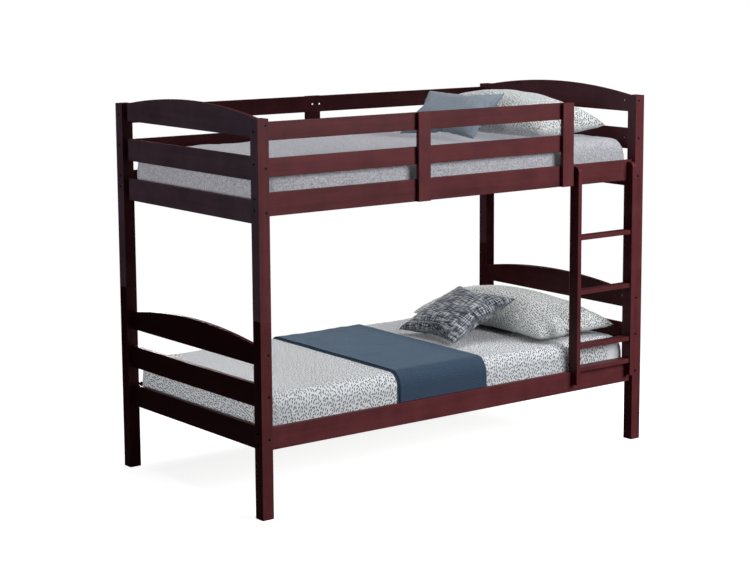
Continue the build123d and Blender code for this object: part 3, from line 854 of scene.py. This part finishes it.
def build_throw():
    low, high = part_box("throw_blanket")
    start = low.x - lower_wrap.middle[0]
    width = high.x - low.x
    section = throw_section(width)
    hang = lower_wrap.stops[1] + (lower_wrap.top - lower_wrap.edge - low.z)
    half_run = lower_wrap.inner[1] + hang
    runs = np.linspace(-half_run, half_run, THROW_RUNS)
    rows, columns = len(section), len(runs)
    across = np.repeat(section[:, 0], columns)
    height = np.repeat(section[:, 1], columns)
    run = np.tile(runs, rows)
    waver = rough(np.column_stack([run, np.zeros_like(run), np.zeros_like(run)]), 5.0, 2.0)
    bow = rough(np.column_stack([run, across * 0.4, np.zeros_like(run)]), 11.0, 9.0)
    slant = THROW_SLANT * np.clip(run / half_run, -1.0, 1.0) * 0.5
    flat = np.column_stack([start + across + slant + 0.006 * waver, run])
    bed = wrinkles(lower_wrap, flat, 0.7)
    pad = np.column_stack([flat, np.zeros(len(flat))])
    billow = 0.0011 * (rough(pad, 9.0, 21.0) + 1.0)
    edge_lift = 0.0012 * (1.0 - ramp(across, 0.0, 0.05)) * (bow + 1.0)
    top_ply = ramp(height, LOW_PLY, HIGH_PLY)
    lift = bed + height + billow * (0.4 + 0.6 * top_ply) + edge_lift * top_ply
    points = lower_wrap.place(flat, lift)
    cut = np.column_stack([np.repeat(np.linspace(0.0, 2 * width, rows), columns), run])
    piece = make_piece("throw_folded", points, lattice(rows, columns), cut, navy_knit)
    thickened(piece, THROW_PLY)
    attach(piece, "throw_blanket")
    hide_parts("throw_blanket")
    print(piece.name, "cut", round(2 * width, 3), round(2 * half_run, 3), "points", len(points))
    return piece


build_throw()

# %% [markdown]
# ## Pillows and cushions
# A pillow is two flat layers sewn round the edge and blown up by its filling. Blender's cloth does the same:
# two grids share their border, air pressure swells them, and the seams draw in and pucker by themselves.
# All four are swollen in one run of the simulation, then set down where the CAD model holds them.


# %% Sewn bags
def sewn_bag(name, deep, wide, cell, material):
    """Two flat layers that share their border: deep along X, wide along Y."""
    rows, columns = round(deep / cell) + 1, round(wide / cell) + 1
    x = np.linspace(-deep / 2, deep / 2, rows)
    y = np.linspace(-wide / 2, wide / 2, columns)
    flat = np.stack(np.meshgrid(x, y, indexing="ij"), axis=-1).reshape(-1, 2)
    inside = (np.abs(flat[:, 0]) < deep / 2 - 1e-6) & (np.abs(flat[:, 1]) < wide / 2 - 1e-6)
    puff = 0.004 * inside
    upper = np.column_stack([flat, puff])
    lower = np.column_stack([flat, -puff])[inside]
    renumber = np.arange(len(flat))
    renumber[inside] = len(flat) + np.arange(inside.sum())
    top_faces = lattice(rows, columns)
    faces = np.vstack([top_faces, renumber[top_faces][:, ::-1]])
    points = np.vstack([upper, lower])
    cloth = np.vstack([flat, flat[inside] + np.array([5.0, 5.0])])
    piece = make_piece(name, points, faces, cloth, material)
    printed = piece.data.uv_layers.new(name="print")
    printed.data.foreach_set("uv", np.ones(2 * len(piece.data.loops), np.float32))
    return piece


def swell(pieces, frames):
    """Blows the bags up with the cloth simulation and keeps the result."""
    scene = bpy.context.scene
    for piece, pressure in pieces:
        cloth = piece.modifiers.new("swell", "CLOTH")
        settings = cloth.settings
        settings.quality = 6
        settings.mass = 0.12
        settings.tension_stiffness = 30.0
        settings.compression_stiffness = 8.0
        settings.shear_stiffness = 4.0
        settings.bending_stiffness = 0.12
        settings.tension_damping = 12.0
        settings.compression_damping = 12.0
        settings.shear_damping = 8.0
        settings.air_damping = 6.0
        settings.use_pressure = True
        settings.uniform_pressure_force = pressure
        settings.effector_weights.gravity = 0.0
        cloth.collision_settings.use_collision = False
        cloth.collision_settings.use_self_collision = False
        cloth.point_cache.frame_start = 1
        cloth.point_cache.frame_end = frames
    for step in range(1, frames + 1):
        scene.frame_set(step)
    depsgraph = bpy.context.evaluated_depsgraph_get()
    shapes = []
    for piece, pressure in pieces:
        mesh = piece.evaluated_get(depsgraph).data
        points = np.zeros(len(mesh.vertices) * 3)
        mesh.vertices.foreach_get("co", points)
        shapes.append(points.reshape(-1, 3))
    scene.frame_set(1)
    for (piece, pressure), points in zip(pieces, shapes):
        piece.modifiers.remove(piece.modifiers["swell"])
        piece.data.vertices.foreach_set("co", points.ravel())
        piece.data.update()
        span = points.max(0) - points.min(0)
        print(piece.name, "swollen to", [round(float(n), 3) for n in span])


def points_of(piece):
    points = np.zeros(len(piece.data.vertices) * 3)
    piece.data.vertices.foreach_get("co", points)
    return points.reshape(-1, 3)


def fitted(points, deep, wide, crown, belly, droop, pucker):
    """Scales a swollen bag to the room that the CAD form takes: puckered at its seams, its ends let down."""
    out = points - (points.max(0) + points.min(0)) / 2
    span = out.max(0) - out.min(0)
    out[:, 0] *= deep / span[0]
    out[:, 1] *= wide / span[1]
    above = out[:, 2] > 0
    out[above, 2] *= crown / out[:, 2].max()
    low = -out[:, 2] / -out[:, 2].min()
    low = np.clip(low, 0.0, 1.0)
    out[~above, 2] = -belly * (1.0 - (1.0 - low[~above]) ** 1.15)
    share = np.abs(out[:, :2]) / np.array([deep / 2, wide / 2])
    rim = np.clip(share.max(axis=1), 0.0, 1.0)
    by_side = share[:, 0] > share[:, 1]
    along = np.where(by_side, out[:, 1], out[:, 0])
    inward = np.where(by_side, out[:, 0], out[:, 1])
    seam = rough(np.column_stack([along, inward * 0.15, np.sign(out[:, 2]) * 0.3]), 38.0, 4.0)
    crease = rough(out * np.array([1.0, 1.0, 0.4]), 11.0, 8.0) + 0.5 * rough(out, 23.0, 15.0)
    near = ramp(rim, 0.45, 0.9) * (1.0 - ramp(rim, 0.93, 1.0))
    out[:, 2] += np.sign(out[:, 2]) * pucker * (near * seam + 0.55 * crease * (1.0 - ramp(rim, 0.8, 1.0)))
    out[:, 2] -= droop * share[:, 1] ** 2.5
    near_corner = (share[:, 0] * share[:, 1]) ** 3 * (out[:, 0] < 0) * (out[:, 1] < 0)
    out[:, :2] += (droop * 2.4 * near_corner)[:, None]
    out[:, 2] = np.maximum(out[:, 2], -belly)
    return out


def set_down(piece, place, tilt, turn):
    """Puts a form where it lies; place is in the row frame."""
    matrix = Matrix.Translation(place)
    matrix = matrix @ Matrix.Rotation(math.radians(turn), 4, "Z")
    matrix = matrix @ Matrix.Rotation(math.radians(-tilt), 4, "Y")
    piece.data.transform(matrix)
    piece.data.update()


# name, slot, material, deep, wide, crown, belly,
# place from the foot, the front and the floor, tilt, turn, pressure, droop, pucker
BAG_CELL = 0.0095
SWELL_FRAMES = 40
BAGS = (
    ("lower_pillow", "sprig_pillowcase", sprig_case, 0.462, 0.866, 0.121, 0.052,
     (1.702, 0.512, 0.5246), 1.5, 1.0, 9.0, 0.018, 0.004),
    ("upper_pillow", "sprig_pillowcase", sprig_case, 0.440, 0.860, 0.135, 0.058,
     (1.712, 0.570, 1.4076), 1.5, -1.0, 9.0, 0.012, 0.004),
    ("lower_cushion", "streaked_weave", streaked, 0.385, 0.415, 0.058, 0.052,
     (1.354, 0.481, 0.574), 25.0, -3.0, 5.0, 0.0, 0.003),
    ("upper_cushion", "blue_grey_linen", linen, 0.300, 0.415, 0.052, 0.046,
     (1.384, 0.554, 1.452), 38.0, 14.0, 5.0, 0.0, 0.0055),
)
ORIGIN = Vector((-1.0095, -0.518, 0.0))


def build_bags():
    made = []
    for name, slot, material, deep, wide, crown, belly, place, tilt, turn, pressure, droop, pucker in BAGS:
        piece = sewn_bag(name + "_stuffed", deep, wide, BAG_CELL, material)
        made.append((piece, pressure))
    swell(made, SWELL_FRAMES)
    for (piece, pressure), facts in zip(made, BAGS):
        name, slot, material, deep, wide, crown, belly, place, tilt, turn, pressure, droop, pucker = facts
        points = fitted(points_of(piece), deep, wide, crown, belly, droop, pucker)
        piece.data.vertices.foreach_set("co", points.ravel())
        set_down(piece, ORIGIN + Vector(place), tilt, turn)
        smooth = piece.modifiers.new("smooth", "SUBSURF")
        smooth.levels = 1
        smooth.render_levels = 1
        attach(piece, name)
        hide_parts(name)
    return [piece for piece, pressure in made]


bags = build_bags()
print("bags set down:", len(bags))

# %% [markdown]
# ## Studio
# A wide pale floor runs out into a white world, so there is no horizon line.
# The main light is a big soft panel at the front, to the right and above, so the end faces fall into shade.
# In a studio, boards called flags keep a light off chosen parts. Blender's light linking does the same:
# each panel below says which pieces it lights, and which pieces cast no shadow in it.
# A low panel behind the bed lights its rear. A cool one at the foot greys the upper end, like a pale wall.


# %% Floor and world
FLOOR_FADE = (1.0, 2.7)


def build_floor():
    material, tree, shader = new_material("pale_floor", Roughness=0.95, Specular_IOR_Level=0.05)
    place = add(tree, "TexCoord").outputs["Object"]
    tint = add(tree, "TexNoise", {"Vector": place, "Scale": 1.5, "Detail": 2.0}).outputs[0]
    pale = mixed(tree, tint, (0.87, 0.87, 0.87, 1.0), (0.9, 0.9, 0.9, 1.0))
    seen = add(tree, "LightPath").outputs["Is Camera Ray"]
    distance = add(tree, "VectorMath", {0: place}, operation="LENGTH").outputs["Value"]
    far_off = spread(tree, distance, *FLOOR_FADE)
    near = mixed(tree, seen, (0.18, 0.18, 0.185, 1.0), pale)
    tree.links.new(mixed(tree, far_off, near, (0.0, 0.0, 0.0, 1.0)), shader.inputs["Base Color"])
    glow = sums(tree, "MULTIPLY", spread(tree, far_off, 0.0, 1.0, 0.86, 1.0), seen)
    shine = mixed(tree, glow, (0.0, 0.0, 0.0, 1.0), (1.0, 1.0, 1.0, 1.0))
    tree.links.new(shine, shader.inputs["Emission Color"])
    shader.inputs["Emission Strength"].default_value = 1.0
    mesh = bpy.data.meshes.new("floor")
    far = 60.0
    corners = [(-far, -far, 0), (far, -far, 0), (far, far, 0), (-far, far, 0)]
    mesh.from_pydata(corners, [], [(0, 1, 2, 3)])
    floor = bpy.data.objects.new("floor", mesh)
    floor.location.z = -0.0005
    mesh.materials.append(material)
    bpy.context.scene.collection.objects.link(floor)
    return floor


def build_world():
    world = bpy.data.worlds.new("studio")
    bpy.context.scene.world = world
    world.use_nodes = True
    tree = world.node_tree
    background = tree.nodes["Background"]
    seen = add(tree, "LightPath").outputs["Is Camera Ray"]
    tree.links.new(spread(tree, seen, 0.0, 1.0, 0.05, 1.0), background.inputs["Strength"])
    background.inputs["Color"].default_value = (1.0, 1.0, 1.0, 1.0)


floor = build_floor()
build_world()
print("floor and world ready")


# %% Lights
def linked(name, things, state):
    """A collection that a light reads: it takes in only these things, or leaves only these out."""
    group = bpy.data.collections.new(name)
    for thing in things:
        group.objects.link(thing)
    for item in group.collection_objects:
        item.light_linking.link_state = state
    return group


def panel(name, place, target, size, power, tint=(1.0, 1.0, 1.0)):
    """A soft square light that points at a target."""
    data = bpy.data.lights.new(name, "AREA")
    data.size = size
    data.energy = power
    data.color = tint
    lamp = bpy.data.objects.new(name, data)
    lamp.location = place
    lamp.rotation_euler = (Vector(target) - Vector(place)).to_track_quat("-Z", "Y").to_euler()
    lamp.visible_camera = False
    bpy.context.scene.collection.objects.link(lamp)
    return lamp


pieces = [thing for thing in bpy.context.scene.objects if thing.type == "MESH" and thing != floor]
timber = [thing for thing in pieces if thing.name in nodes]
bedding = [thing for thing in pieces if thing.name not in nodes]
far_side = [thing for thing in timber if "rear" in thing.name]
upper = [thing for thing in timber if nodes[thing.name]["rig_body"] == "upper_bunk"]
near_upper = [thing for thing in upper if thing not in far_side or "post" in thing.name]
upper_dressing = [thing for thing in bedding if "upper" in thing.name]

key = panel("key_light", (2.6, -6.0, 3.6), (0.0, 0.0, 0.8), 3.5, 520.0)
key.light_linking.receiver_collection = linked("flagged_from_key", far_side, "EXCLUDE")
top = panel("top_light", (0.3, 0.2, 4.6), (0.0, 0.0, 0.9), 3.6, 108.0)
top.light_linking.receiver_collection = linked("not_timber", timber, "EXCLUDE")
top.light_linking.blocker_collection = linked("no_top_shadow", upper + upper_dressing, "EXCLUDE")
timber_top = panel("timber_top", (0.3, 0.2, 4.6), (0.0, 0.0, 0.9), 3.6, 40.0)
timber_top.light_linking.receiver_collection = linked("timber_only", timber, "INCLUDE")
back = panel("back_light", (1.6, 5.6, 0.8), (0.0, 0.0, 0.8), 1.4, 260.0)
back.light_linking.receiver_collection = linked("bed_alone", pieces, "INCLUDE")
end_glow = panel("end_glow", (-5.4, 1.2, 2.2), (-0.8, 0.0, 1.3), 2.2, 150.0, (0.33, 0.84, 1.0))
end_glow.light_linking.receiver_collection = linked("upper_end", near_upper, "INCLUDE")
bed_fill = panel("bed_fill", (-5.0, -1.0, 1.6), (-0.8, 0.0, 0.9), 2.5, 142.0)
bed_fill.light_linking.receiver_collection = linked("bedding_only", bedding, "INCLUDE")
print("timber", len(timber), "bedding", len(bedding), "far side", len(far_side))

# %% [markdown]
# ## Size
# The finished model keeps inside the CAD model's box, give or take a little cloth.

# %% Finish
print("done")
